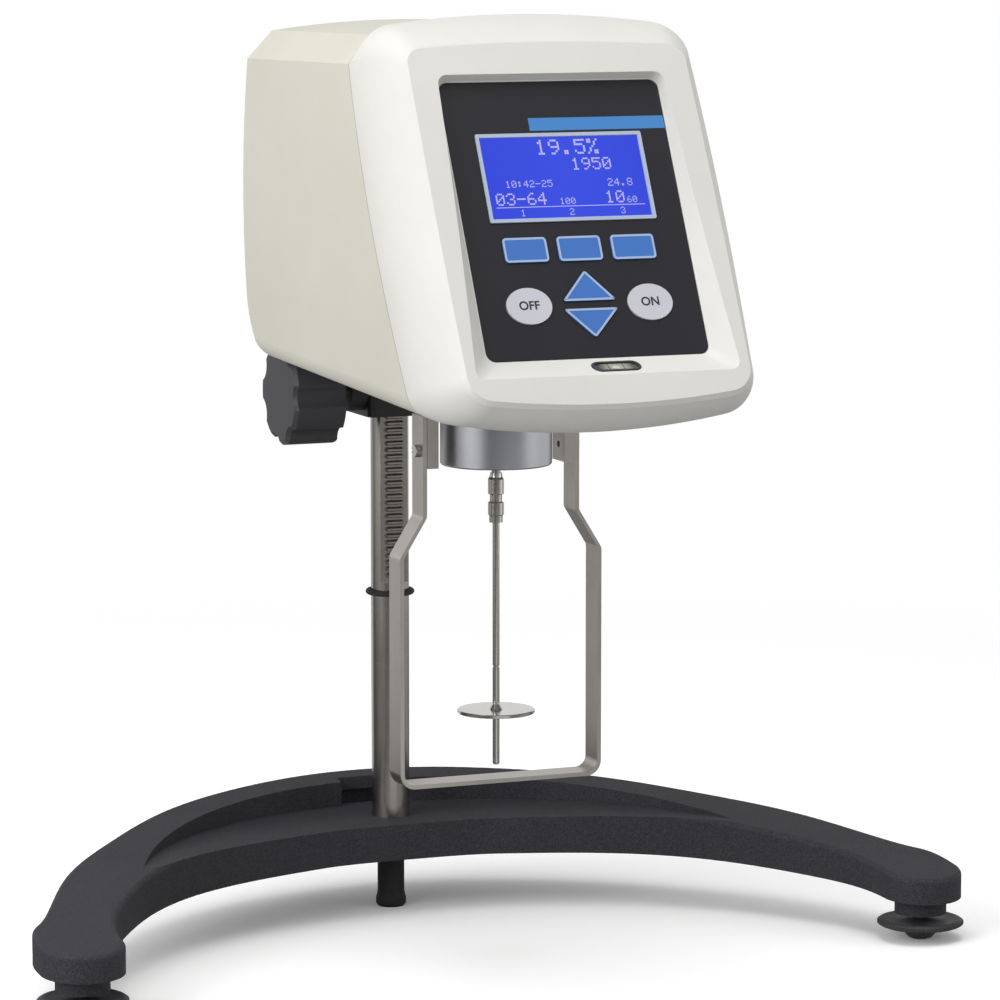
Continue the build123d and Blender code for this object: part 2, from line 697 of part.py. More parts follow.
def make_posts():
    z = floor_z + 5
    out = []
    for i in range(3):
        a = math.radians(90 + 120 * i)
        out.append(cyl(3.0, z, z + 38, 26 * math.cos(a), spindle_y + 26 * math.sin(a)))
    return out


def make_drive():
    # upper shaft with the carrier disc that winds the spring
    z = floor_z + 42
    shaft = turned([(0, z - 6), (16, z - 6), (16, z - 4), (5, z - 4), (3.0, z - 2),
                    (3.0, z + 48), (0, z + 48)], 0, spindle_y)
    # stud that takes the outer end of the spring
    return shaft + cyl(1.0, spiral_z - 0.5, z - 5, spiral_r + 1.6, spindle_y)


def make_spring():
    # flat spiral spring on its collet
    turns, n, r0 = 2.5, 36, 3.6
    edges = []
    for d in (spiral_t / 2, -spiral_t / 2):
        pts = []
        for i in range(n + 1):
            a, r = 2 * math.pi * turns * i / n, r0 + (spiral_r - r0) * i / n + d
            pts.append((r * math.cos(a), -r * math.sin(a)))
        edges.append(pts)
    f = make_face(Polyline(*edges[0], *reversed(edges[1]), close=True))
    ribbon = Pos(0, spindle_y, spiral_z) * Rot(0, 0, 180) * extrude(f, spiral_h)
    collet = cyl(4.2, spiral_z, spiral_z + spiral_h, 0, spindle_y)
    return collet + ribbon - cyl(2.0, spiral_z - 1, spiral_z + 9, 0, spindle_y)


def make_spring_disc():
    # lower disc on the measuring shaft
    z = spring_z
    return turned([(2.0, z - 2), (4.5, z - 2), (4.5, z), (14, z), (14, z + 1.6), (2.0, z + 1.6)],
                  0, spindle_y)


def make_board():
    return extrude(lean_plane(-board_w - board_t) * Rectangle(2 * board_x + 8, 2 * board_y + 7),
                   board_t)


def make_key_mat():
    # switch mat behind the keys, held off the panel by four studs
    back = -panel_t - key_flange - key_travel - 0.1
    low, high, hw = 5.0 - panel_h / 2, -7.0, panel_w / 2 - 4.8
    mat = extrude(lean_plane(back - 1.2) * (Pos(0, (low + high) / 2) * Rectangle(2 * hw, high - low)),
                  1.2)
    for x in (-hw + 3, hw - 3):
        for y in (low + 3, high - 3):
            mat += extrude(lean_plane(back - 0.2) * (Pos(x, y) * Rectangle(3, 3)), 0.2 - back - panel_t)
    return mat


def make_inlet():
    # mains inlet on the back of the head, with a recess and three pins
    x, z, y = inlet_x, inlet_z, head_back
    body = block(x - 13.7, x + 13.7, y - 22, y, z - 9.7, z + 9.7)
    body += block(x - 17, x + 17, y, y + 2, z - 13, z + 13)
    body = chamfer(body.edges().filter_by(Axis.Y).group_by(Axis.Z)[-1], 1.5)
    body -= block(x - 12, x + 12, y - 15, y + 5, z - 8, z + 8)
    for dx, dz in ((-7, -2), (0, 3), (7, -2)):
        body += block(x + dx - 2, x + dx + 2, y - 16, y - 3, z + dz - 1, z + dz + 1)
    return body


def make_switch():
    # frame of the mains switch and its rocker
    x, z, y = inlet_x, switch_z, head_back
    frame = block(x - 10, x + 10, y - 14, y, z - 7, z + 7)
    frame += block(x - 11.5, x + 11.5, y, y + 1.5, z - 8.5, z + 8.5)
    frame -= block(x - 8.5, x + 8.5, y - 12.5, y + 3, z - 5.5, z + 5.5)
    prof = make_face(Polyline((-7.2, 1.0), (0, -0.8), (7.2, 2.6), (7.0, -3.5), (2.0, -7.5),
                              (-2.0, -7.5), (-7.0, -3.5), close=True))
    loc = Plane(origin=(x, y, z - 5.1), x_dir=(1, 0, 0), z_dir=(0, 0, 1))
    rocker = loc * extrude(prof, 10.2)
    return frame, rocker


def main():
    save(make_base(), "base_casting")
    save(make_rod(), "upright_rod")
    save(make_base_screw(), "base_screw")
    save(make_rear_foot(), "rear_foot")
    save(make_ring(), "height_ring")
    for s, n in ((-1, "left"), (1, "right")):
        save(make_wheel(s), "levelling_wheel_" + n)
        save(make_pad(s), "levelling_pad_" + n)
        save(make_leg_bracket(s), "leg_bracket_" + n)
        save(make_leg_screw(s), "leg_screw_" + n)
    save(make_clamp(), "clamp_body")
    save(make_pinion(), "pinion_shaft")
    save(make_knob(), "lift_knob")
    save(make_tension_screw(), "tension_screw")
    save(make_mount_rod(), "mounting_rod")
    cover, outer = make_rear_cover()
    save(cover, "rear_cover")
    save(make_front(outer), "front_bezel")
    save(make_panel(), "keypad_panel")
    for n, k in make_keys().items():
        save(k, n)
    frame, glass, module = make_display()
    save(frame, "display_frame")
    save(glass, "display_window")
    save(module, "display_module")
    ring, vial = make_level()
    save(ring, "level_ring")
    save(vial, "level_vial")
    save(make_cup(), "pivot_cup")
    save(make_lower_shaft(), "lower_shaft")
    save(make_nut(), "coupling_nut")
    save(make_spindle(), "disc_spindle")
    save(make_leg(), "guard_leg")
    save(make_chassis(), "chassis_plate")
    save(make_motor(), "drive_motor")
    for i, p in enumerate(make_posts()):
        save(p, f"motor_post_{i + 1}")
    save(make_drive(), "drive_shaft")
    save(make_spring_disc(), "spring_disc")
    save(make_spring(), "calibrated_spring")
    save(make_board(), "control_board")
    save(make_key_mat(), "key_mat")
    save(make_inlet(), "power_inlet")
    frame, rocker = make_switch()
    save(frame, "switch_frame")
    save(rocker, "power_rocker")
    print(len(made), "parts")


main()
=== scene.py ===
import json
import math

import bmesh
import bpy
from mathutils import Matrix, Vector


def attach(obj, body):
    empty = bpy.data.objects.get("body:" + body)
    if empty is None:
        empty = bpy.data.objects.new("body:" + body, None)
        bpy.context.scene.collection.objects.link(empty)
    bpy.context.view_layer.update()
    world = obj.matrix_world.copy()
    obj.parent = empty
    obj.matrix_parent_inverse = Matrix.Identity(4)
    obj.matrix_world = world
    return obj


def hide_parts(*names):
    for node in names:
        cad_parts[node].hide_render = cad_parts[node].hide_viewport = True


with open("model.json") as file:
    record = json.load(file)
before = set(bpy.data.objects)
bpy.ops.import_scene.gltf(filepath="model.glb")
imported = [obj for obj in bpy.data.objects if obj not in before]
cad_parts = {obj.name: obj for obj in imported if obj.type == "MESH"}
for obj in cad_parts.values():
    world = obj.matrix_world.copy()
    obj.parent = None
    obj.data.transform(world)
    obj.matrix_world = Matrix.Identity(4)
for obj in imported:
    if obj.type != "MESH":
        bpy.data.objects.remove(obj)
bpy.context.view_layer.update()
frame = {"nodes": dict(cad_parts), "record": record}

# Dressing of a benchtop rotational viscometer on its rack stand, in metres.

mm = 0.001
weldGap = 1e-4
faceLean = math.radians(26.6)
scene = bpy.context.scene
nodes = frame["nodes"]


# camera: place in metres, angles in degrees, lens and sensor in millimetres
viewpoint = {"place": (-0.7717, -2.0270, 0.4883), "yaw": -22.221, "pitch": 7.692, "lens": 166.46,
             "sensor": 36.0, "nearest": 0.05, "farthest": 50}


def makeCamera(v):
    yaw, pitch = math.radians(v["yaw"]), math.radians(v["pitch"])
    back = Vector((math.sin(yaw) * math.cos(pitch), -math.cos(yaw) * math.cos(pitch), math.sin(pitch)))
    data = bpy.data.cameras.new("viewCamera")
    data.lens, data.sensor_width = v["lens"], v["sensor"]
    data.clip_start, data.clip_end = v["nearest"], v["farthest"]
    data.dof.use_dof = False
    camera = bpy.data.objects.new("viewCamera", data)
    scene.collection.objects.link(camera)
    camera.location = v["place"]
    camera.rotation_mode = "QUATERNION"
    camera.rotation_quaternion = (-back).to_track_quat("-Z", "Y")
    scene.camera = camera
    scene.view_settings.view_transform = "Standard"


makeCamera(viewpoint)
print("camera placed")


# shader wiring
def grey(level):
    return (level, level, level, 1)


def tone(hexCode):
    # a colour as it looks on screen, turned into scene light
    parts = [int(hexCode[i:i + 2], 16) / 255 for i in (1, 3, 5)]
    return tuple(c / 12.92 if c <= 0.04045 else ((c + 0.055) / 1.055) ** 2.4 for c in parts) + (1.0,)


class Signal:
    # one socket of a node tree, with the arithmetic that the finishes use
    def __init__(self, wiring, socket):
        self.wiring, self.socket = wiring, socket

    def combine(self, operation, a, b=0.0):
        return self.wiring.node("ShaderNodeMath", {"operation": operation}, {0: a, 1: b})

    def __add__(self, other):
        return self.combine("ADD", self, other)

    def __radd__(self, other):
        return self.combine("ADD", other, self)

    def __sub__(self, other):
        return self.combine("SUBTRACT", self, other)

    def __rsub__(self, other):
        return self.combine("SUBTRACT", other, self)

    def __mul__(self, other):
        return self.combine("MULTIPLY", self, other)

    def __rmul__(self, other):
        return self.combine("MULTIPLY", other, self)

    def __truediv__(self, other):
        return self.combine("DIVIDE", self, other)

    def power(self, exponent):
        return self.combine("POWER", self, exponent)

    def size(self):
        return self.combine("ABSOLUTE", self)

    def least(self, other):
        return self.combine("MINIMUM", self, other)

    def between(self, low, high):
        # 0 below low, 1 above high, a straight run from one to the other
        inputs = {"From Min": low, "From Max": high, "To Min": 0.0, "To Max": 1.0, "Value": self}
        return self.wiring.node("ShaderNodeMapRange", {"clamp": True}, inputs)

    def blend(self, first, second):
        # colours: first where this is 0, second where it is 1; sockets 6 and 7 are the colour ones
        return self.wiring.node("ShaderNodeMix", {"data_type": "RGBA"}, {0: self, 6: first, 7: second}, 2)


class Wiring:
    # a node tree being wired; node() makes every node
    def __init__(self, tree):
        self.tree = tree
        tree.nodes.clear()

    def node(self, kind, settings=None, inputs=None, output=0):
        made = self.tree.nodes.new(kind)
        for key, value in (settings or {}).items():
            if key == "stops":
                ramp = made.color_ramp
                while len(ramp.elements) < len(value):
                    ramp.elements.new(0.5)
                for element, (place, colour) in zip(ramp.elements, value):
                    element.position, element.color = place, colour
            else:
                setattr(made, key, value)
        for key, value in (inputs or {}).items():
            self.put(made.inputs[key], value)
        return Signal(self, made.outputs[output]) if made.outputs else made

    def put(self, socket, value):
        if isinstance(value, Signal):
            self.tree.links.new(value.socket, socket)
        elif value is not None:
            socket.default_value = value

    def place(self, stretch=(1, 1, 1)):
        # object coordinates, stretched
        spot = self.node("ShaderNodeTexCoord", output="Object")
        return self.node("ShaderNodeMapping", {"vector_type": "POINT"}, {"Vector": spot, "Scale": stretch})

    def axes(self, vector=None):
        vector = vector or self.node("ShaderNodeTexCoord", output="Object")
        parted = self.node("ShaderNodeSeparateXYZ", {}, {0: vector})
        return [Signal(self, parted.socket.node.outputs[i]) for i in range(3)]

    def grain(self, scale, detail, rough, stretch=(1, 1, 1)):
        inputs = {"Vector": self.place(stretch), "Scale": scale, "Detail": detail, "Roughness": rough}
        return self.node("ShaderNodeTexNoise", {}, inputs)

    def bumps(self, height, strength, depth):
        return self.node("ShaderNodeBump", {}, {"Height": height, "Strength": strength, "Distance": depth})


def makeFinish(name, wire, **fixed):
    # a Principled surface; wire() returns what varies, fixed holds the rest
    material = bpy.data.materials.new(name)
    material.use_nodes = True
    w = Wiring(material.node_tree)
    shader = w.node("ShaderNodeBsdfPrincipled")
    principled = shader.socket.node
    for key, value in {**fixed, **wire(w)}.items():
        w.put(principled.inputs[key.replace("_", " ")], value)
    w.node("ShaderNodeOutputMaterial", {}, {0: shader})
    return material


# looks: a grain is its scale, detail, roughness and stretch; shares are the parts of the fine and the broad
# grain in the colour, which runs from low to high; bump is strength and depth
castingLook = {"fine": (1150, 2.0, 0.6), "broad": (38, 3.0, 0.6), "ends": (0.36, 0.68), "shares": (0.6, 0.25),
               "low": "#29282d", "high": "#47464c", "rough": 0.55, "fineRough": 0.2, "broadBump": 0.2,
               "bump": (0.75, 0.0004)}
# rings left by the grinding wheel, and faint handling marks
groundLook = {"fine": (1.0, 2.0, 0.5, (60, 60, 5200)), "broad": (1.0, 4.0, 0.6, (240, 240, 26)),
              "shares": (0.5, 0.5), "low": "#9b9690", "high": "#bdb9b3", "rough": 0.13, "fineRough": 0.1,
              "broadRough": 0.1, "bump": (0.08, 0.00003)}
# brushed along the strip, whose width runs fore and aft
stripLook = {"fine": (1.0, 2.0, 0.6, (26, 5200, 26)), "broad": (70, 3.0, 0.6), "shares": (0.6, 0.4),
             "low": "#a8a39c", "high": "#cdc8c1", "rough": 0.24, "fineRough": 0.18, "bump": (0.16, 0.00004)}
brightLook = {"fine": (1.0, 2.0, 0.5, (90, 90, 3600)), "low": "#bdb9b3", "high": "#c8c6c4", "rough": 0.14,
              "fineRough": 0.1, "bump": (0.06, 0.00003)}
# turned aluminium, clear anodised
anodisedLook = {"fine": (1.0, 2.0, 0.5, (300, 300, 3000)), "broad": (45, 3.0, 0.6), "shares": (0.4, 0.6),
                "low": "#a6a7ac", "high": "#b7b8be", "rough": 0.3, "fineRough": 0.1, "bump": (0.05, 0.00003)}
brassLook = {"fine": (1.0, 2.0, 0.5, (120, 120, 2600)), "low": "#b08a45", "high": "#caa55c", "rough": 0.22,
             "fineRough": 0.12, "bump": (0.06, 0.00003)}
mouldingLook = {"fine": (1900, 2.0, 0.6), "broad": (60, 3.0, 0.6), "shares": (0.4, 0.6), "low": "#37363b",
                "high": "#3f3e43", "rough": 0.4, "fineRough": 0.2, "bump": (0.3, 0.0001)}
clampLook = {"fine": (1400, 2.0, 0.6), "low": "#161517", "high": "#1f1e20", "rough": 0.38, "fineRough": 0.18,
             "bump": (0.25, 0.0001)}
rubberLook = {"fine": (420, 4.0, 0.7), "ends": (0.45, 0.8), "low": "#1a191b", "high": "#2b2a2c",
              "rough": 0.62, "fineRough": 0.2, "bump": (0.2, 0.00008)}
filmLook = {"fine": (2100, 2.0, 0.55), "broad": (30, 3.0, 0.5), "shares": (0.35, 0.65), "fineRough": 0.14,
            "bump": (0.12, 0.00004)}


def grained(k):
    # a fine grain, and a broad one where the look has it, shift the colour, the polish and the surface
    def wire(w):
        fine = w.grain(*k["fine"])
        shade = fine.between(*k["ends"]) if "ends" in k else fine
        rough = k["rough"] + fine * k["fineRough"]
        height = fine
        if "broad" in k:
            broad = w.grain(*k["broad"])
            shade = shade * k["shares"][0] + broad * k["shares"][1]
            if "broadRough" in k:
                rough = rough + broad * k["broadRough"]
            if "broadBump" in k:
                height = fine + broad * k["broadBump"]
        return {"Base_Color": shade.blend(tone(k["low"]), tone(k["high"])), "Roughness": rough,
                "Normal": w.bumps(height, *k["bump"])}
    return wire


def printedFilm(low, high, rough=0.36):
    return grained({**filmLook, "low": low, "high": high, "rough": rough})


shellLook = {"fine": (2600, 2.0, 0.6), "broad": (14, 4.0, 0.55), "ends": (0.3, 0.7), "shares": (0.2, 0.8),
             "rough": 0.42, "fineRough": 0.14, "broadRough": 0.06, "bump": (0.18, 0.00008),
             "rear": ("#cfcdc1", "#c9c6b9"), "front": ("#dbdad6", "#d4d2cd")}
# the joint of the two mouldings: its plane, the half widths between which its shadow fades, and its colour
seamLine = {"up": -math.sin(faceLean), "back": math.cos(faceLean), "off": -0.3193, "thin": 0.00025,
            "wide": 0.00075, "dark": "#8d887c"}


def shellPaint(tones, seam=None):
    def wire(w):
        k = shellLook
        spark = w.grain(*k["fine"])
        broad = w.grain(*k["broad"])
        shade = broad.between(*k["ends"]) * k["shares"][1] + spark * k["shares"][0]
        colour = shade.blend(tone(tones[0]), tone(tones[1]))
        if seam:
            y, z = w.axes()[1:]
            gap = (z * seam["up"] + y * seam["back"] - seam["off"]).size()
            colour = (1 - gap.between(seam["thin"], seam["wide"])).blend(colour, tone(seam["dark"]))
        rough = k["rough"] + spark * k["fineRough"] + broad * k["broadRough"]
        return {"Base_Color": colour, "Roughness": rough, "Normal": w.bumps(spark, *k["bump"])}
    return wire


screenLook = {"warm": (22, 2.0, 0.5), "grid": (("X", 318.0), ("Z", 355.0)), "half": 0.038,
              "shares": (0.5, 0.5), "gridShare": 0.35, "blue": "#3a4fe4", "edge": "#3044d6",
              "gap": "#4456ea", "unlit": "#05060f", "rough": 0.16, "warmRough": 0.06}


def screenGlow(w):
    # backlit display: a soft gradient, with the faint grid of its dots
    k = screenLook
    x = w.axes()[0]
    warm = w.grain(*k["warm"])
    gridX, gridZ = [w.node("ShaderNodeTexWave", {"wave_type": "BANDS", "bands_direction": way},
                           {"Vector": w.place(), "Scale": scale}) for way, scale in k["grid"]]
    shade = warm * k["shares"][0] + x.size().between(0.0, k["half"]) * k["shares"][1]
    glow = shade.blend(tone(k["blue"]), tone(k["edge"]))
    lit = (gridX * gridZ * k["gridShare"]).blend(glow, tone(k["gap"]))
    return {"Base_Color": tone(k["unlit"]), "Emission_Color": lit,
            "Roughness": k["rough"] + warm * k["warmRough"]}


dotLook = {"grain": (900, 1.0, 0.5), "unlit": "#20202a", "low": "#b9b6ff", "high": "#cfcdff", "rough": 0.3,
           "grainRough": 0.1}


def litDots(w):
    k = dotLook
    shade = w.grain(*k["grain"])
    return {"Base_Color": tone(k["unlit"]), "Emission_Color": shade.blend(tone(k["low"]), tone(k["high"])),
            "Roughness": k["rough"] + shade * k["grainRough"]}


# the vial's liquid: endShade is a painted shade at both ends of the vial, and ends is where it fades in
liquidLook = {"grain": (160, 2.0, 0.5), "middle": 0.005, "waver": 0.001, "ends": (0.004, 0.0085),
              "pale": "#b4b6a4", "endShade": "#4a4b41", "rough": 0.06, "grainRough": 0.05}


def levelLiquid(w):
    # pale in the middle of the vial, with painted shade darkening it towards its ends
    k = liquidLook
    x = w.axes()[0]
    clear = w.grain(*k["grain"])
    # painted shade: the colour turns darker from the middle towards either end
    end = ((x - k["middle"]).size() + clear * k["waver"]).between(*k["ends"])
    return {"Base_Color": end.blend(tone(k["pale"]), tone(k["endShade"])),
            "Roughness": k["rough"] + clear * k["grainRough"]}


bubbleLook = {"grain": (700, 2.0, 0.5), "low": "#c9cabd", "high": "#babbad", "rough": 0.05,
              "grainRough": 0.05}


def airBubble(w):
    k = bubbleLook
    shine = w.grain(*k["grain"])
    return {"Base_Color": shine.blend(tone(k["low"]), tone(k["high"])),
            "Roughness": k["rough"] + shine * k["grainRough"]}


boardLook = {"stretch": (1, 1, 2.2), "runs": 95.0, "runWide": 0.03, "field": 0.25, "fine": (800, 2.0, 0.5),
             "shares": (0.7, 0.1), "low": "#0f3f24", "high": "#2f7a4c", "rough": 0.3, "fineRough": 0.1,
             "bump": (0.2, 0.00005)}


def boardMask(w):
    # solder mask over straight copper runs
    k = boardLook
    inputs = {"Vector": w.place(k["stretch"]), "Color1": grey(0), "Color2": grey(k["field"]),
              "Mortar": grey(1), "Scale": k["runs"], "Mortar Size": k["runWide"]}
    runs = w.node("ShaderNodeTexBrick", {"offset": 0.5}, inputs)
    fine = w.grain(*k["fine"])
    shade = runs * k["shares"][0] + fine * k["shares"][1]
    return {"Base_Color": shade.blend(tone(k["low"]), tone(k["high"])),
            "Roughness": k["rough"] + fine * k["fineRough"], "Normal": w.bumps(runs, *k["bump"])}


finishes = {
    "charcoal_paint": makeFinish("castingPaint", grained(castingLook), Specular_IOR_Level=0.22),
    "ground_steel": makeFinish("groundSteel", grained(groundLook), Metallic=1.0),
    "strip_steel": makeFinish("stripSteel", grained(stripLook), Metallic=1.0),
    "bright_steel": makeFinish("brightSteel", grained(brightLook), Metallic=1.0),
    "clear_anodised": makeFinish("clearAnodised", grained(anodisedLook), Metallic=1.0),
    "black_rubber": makeFinish("softRubber", grained(rubberLook)),
    "black_moulding": makeFinish("blackMoulding", grained(mouldingLook), Specular_IOR_Level=0.35),
    "clamp_black": makeFinish("clampPaint", grained(clampLook)),
    "rear_shell": makeFinish("rearShell", shellPaint(shellLook["rear"], seamLine)),
    "front_shell": makeFinish("frontShell", shellPaint(shellLook["front"])),
    "panel_film": makeFinish("panelFilm", printedFilm("#19181f", "#201f26")),
    "blue_film": makeFinish("blueFilm", printedFilm("#3d75c3", "#396db8")),
    "grey_film": makeFinish("greyFilm", printedFilm("#c3c4cb", "#c9cad2")),
    "border_film": makeFinish("borderFilm", printedFilm("#a7b8d6", "#9db4d8")),
    "stripe_film": makeFinish("stripeFilm", printedFilm("#3b7fc3", "#4385c7")),
    "ink": makeFinish("keyInk", printedFilm("#26262c", "#2e2e34")),
    "display_trim": makeFinish("displayTrim", printedFilm("#a9b6cc", "#b4c0d4", rough=0.28)),
    "display_glass": makeFinish("screenGlow", screenGlow, Emission_Strength=1.0, Coat_Weight=0.3,
                                Coat_Roughness=0.05),
    "lit_dots": makeFinish("litDots", litDots, Emission_Strength=0.85),
    "vial_liquid": makeFinish("levelLiquid", levelLiquid, Transmission_Weight=0.25, Coat_Weight=0.4),
    "bubble": makeFinish("airBubble", airBubble, Coat_Weight=0.6),
    "board_green": makeFinish("boardMask", boardMask),
    "brass": makeFinish("turnedBrass", grained(brassLook), Metallic=1.0),
    "grey_silicone": makeFinish("softKeyMat", printedFilm("#77787c", "#828388", rough=0.6)),
}
print("finishes wired: %d" % len(finishes))

slotFinish = {"ivory_moulding": "rear_shell", "white_moulding": "front_shell", "spring_bronze": "brass"}
nodeFinish = {name: "strip_steel" for name in ("guard_leg", "leg_bracket_left", "leg_bracket_right")}
for row in frame["record"]["subparts"]:
    slotName = row["material_slot"]
    finish = nodeFinish.get(row["node"], slotFinish.get(slotName, slotName))
    holder = nodes[row["node"]]
    holder.data.materials.clear()
    holder.data.materials.append(finishes[finish])


# pieces
def newPiece(name, form, finish, body, smooth=40):
    mesh = bpy.data.meshes.new(name)
    form.to_mesh(mesh)
    form.free()
    mesh.materials.append(finishes[finish])
    if smooth:
        mesh.polygons.foreach_set("use_smooth", [True] * len(mesh.polygons))
        mesh.set_sharp_from_angle(angle=math.radians(smooth))
    piece = bpy.data.objects.new(name, mesh)
    scene.collection.objects.link(piece)
    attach(piece, body)
    return piece


# the keypad panel's own frame: across, up and out of the film, in millimetres
panelCentre = (0.0, -220.6, 343.9)


def onPanel(out=0.0):
    across, up = Vector((1, 0, 0)), Vector((0, math.sin(faceLean), math.cos(faceLean)))
    normal = Vector((0, -math.cos(faceLean), math.sin(faceLean)))
    spot = Vector(panelCentre) + normal * out
    turn = Matrix((across, up, normal)).transposed().to_4x4()
    return Matrix.Translation(spot * mm) @ turn @ Matrix.Scale(mm, 4)


def oblong(left, low, right, high):
    return [(left, low), (right, low), (right, high), (left, high)]


def flatShape(corners, rounded=0.0):
    # a face in the panel's plane, with its corners rounded
    form = bmesh.new()
    form.faces.new([form.verts.new((x, y, 0)) for x, y in corners])
    if rounded:
        bmesh.ops.bevel(form, geom=list(form.verts), offset=rounded, offset_type="OFFSET", segments=6,
                        profile=0.5, affect="VERTICES", material=-1)
    return form


def thicken(form, height, border=None):
    # gives a flat shape its thickness, or only a border of it
    if border:
        made = bmesh.ops.inset_region(form, faces=list(form.faces), thickness=border, depth=0,
                                      use_boundary=True, use_even_offset=True)
        bmesh.ops.delete(form, geom=[f for f in form.faces if f not in made["faces"]], context="FACES")
    made = bmesh.ops.extrude_face_region(form, geom=list(form.faces))
    raised = [v for v in made["geom"] if isinstance(v, bmesh.types.BMVert)]
    bmesh.ops.translate(form, verts=raised, vec=(0, 0, height))
    bmesh.ops.recalc_face_normals(form, faces=list(form.faces))
    return form


keyPrint = {
    "softX": (-24.8, 0.0, 24.8), "softY": -14.0, "softWide": 20.0, "softTall": 11.2, "softRound": 1.7,
    "up": ((0, -24.1), (-12.3, -37.8), (12.3, -37.8)), "down": ((0, -54.6), (12.6, -41.4), (-12.6, -41.4)),
    "arrowRound": 1.3, "border": 0.95, "capTop": 0.7, "thick": 0.06, "sunk": 0.01, "within": 0.02,
}


def makeKeyBorders(k):
    wide, tall = k["softWide"] / 2 - k["within"], k["softTall"] / 2 - k["within"]
    for x, side in zip(k["softX"], ("left", "middle", "right")):
        corners = oblong(x - wide, k["softY"] - tall, x + wide, k["softY"] + tall)
        form = thicken(flatShape(corners, k["softRound"]), k["thick"], k["border"])
        form.transform(onPanel(k["capTop"] - k["sunk"]))
        newPiece("soft_border_" + side, form, "border_film", "soft_key_" + side)
    for way in ("up", "down"):
        form = thicken(flatShape(k[way], k["arrowRound"]), k["thick"], k["border"])
        form.transform(onPanel(k["capTop"] - k["sunk"]))
        newPiece(way + "_border", form, "border_film", way + "_key")


makeKeyBorders(keyPrint)

# dot-matrix signs, five dots wide and seven tall, top row first
dotSigns = {
    "0": "01110 10001 10011 10101 11001 10001 01110", "1": "00100 01100 00100 00100 00100 00100 01110",
    "2": "01110 10001 00001 00110 01000 10000 11111", "3": "01110 10001 00001 00110 00001 10001 01110",
    "4": "00010 00110 01010 10010 11111 00010 00010", "5": "11111 10000 11110 00001 00001 10001 01110",
    "6": "00110 01000 10000 11110 10001 10001 01110", "7": "11111 00001 00010 00100 01000 01000 01000",
    "8": "01110 10001 10001 01110 10001 10001 01110", "9": "01110 10001 10001 01111 00001 00010 01100",
    ".": "00000 00000 00000 00000 00000 01100 01100", "%": "11001 11010 00010 00100 01000 01011 10011",
    "-": "00000 00000 00000 11111 00000 00000 00000", ":": "00000 01100 01100 00000 01100 01100 00000",
}
# lines are text, left edge, top edge and dot pitch, and rules are left, right, height and thickness, in the
# panel's millimetres; step counts the dots from one sign to the next
readout = {
    "lines": (("19.5%", -11.4, 36.6, 1.0), ("1950", 3.8, 27.9, 0.8), ("10:42-25", -28.2, 18.0, 0.46),
              ("24.8", 19.0, 18.0, 0.5), ("03-64", -33.8, 12.3, 0.8), ("100", -4.6, 9.6, 0.42),
              ("10", 16.7, 12.3, 0.8), ("60", 26.6, 9.6, 0.42), ("1", -23.5, 4.7, 0.44),
              ("2", -1.0, 4.7, 0.44), ("3", 22.6, 4.7, 0.44)),
    "rules": ((-34.2, 34.6, 5.75, 0.35),), "step": 6, "glass": -0.2, "dot": 0.9, "thick": 0.03,
}


def makeReadout(r):
    form = bmesh.new()
    for text, left, top, pitch in r["lines"]:
        for place, sign in enumerate(text):
            for row, dots in enumerate(dotSigns[sign].split()):
                for column, dot in enumerate(dots):
                    if dot == "1":
                        x, y = left + (place * r["step"] + column + 0.5) * pitch, top - (row + 0.5) * pitch
                        bmesh.ops.create_grid(form, x_segments=1, y_segments=1, size=pitch * r["dot"] / 2,
                                              matrix=Matrix.Translation((x, y, 0)))
    for x0, x1, y, tall in r["rules"]:
        spot = Matrix.Translation(((x0 + x1) / 2, y, 0)) @ Matrix.Diagonal(((x1 - x0) / 2, tall / 2, 1, 1))
        bmesh.ops.create_grid(form, x_segments=1, y_segments=1, size=1.0, matrix=spot)
    form.transform(onPanel(r["glass"] + r["thick"]))
    newPiece("display_readout", form, "lit_dots", "head", smooth=None)


makeReadout(readout)

panelStripe = {"left": -12.5, "right": 50.6, "low": 40.7, "high": 46.6, "thick": 0.05}


def makeStripe(p):
    form = thicken(flatShape(oblong(p["left"], p["low"], p["right"], p["high"])), p["thick"])
    form.transform(onPanel())
    newPiece("panel_stripe", form, "stripe_film", "head", smooth=None)


makeStripe(panelStripe)

keyWords = {"words": (("round_key_left", "OFF", -27.8), ("round_key_right", "ON", 27.8)), "size": 5.4,
            "bold": 0.13, "y": -39.4, "thick": 0.02}


def makeKeyWords(k):
    for body, word, x in k["words"]:
        curve = bpy.data.curves.new(body + "_word", "FONT")
        curve.body, curve.size = word, k["size"]
        curve.align_x, curve.align_y = "CENTER", "CENTER"
        curve.extrude, curve.offset = k["thick"], k["bold"]
        holder = bpy.data.objects.new("wordHolder", curve)
        scene.collection.objects.link(holder)
        bpy.context.view_layer.update()
        flat = bpy.data.meshes.new_from_object(holder)
        bpy.data.objects.remove(holder)
        form = bmesh.new()
        form.from_mesh(flat)
        bpy.data.meshes.remove(flat)
        bmesh.ops.remove_doubles(form, verts=list(form.verts), dist=weldGap)
        form.transform(onPanel(keyPrint["capTop"] + k["thick"]) @ Matrix.Translation((x, k["y"], 0)))
        newPiece(body + "_word", form, "ink", body, smooth=None)


makeKeyWords(keyWords)
print("panel printed")


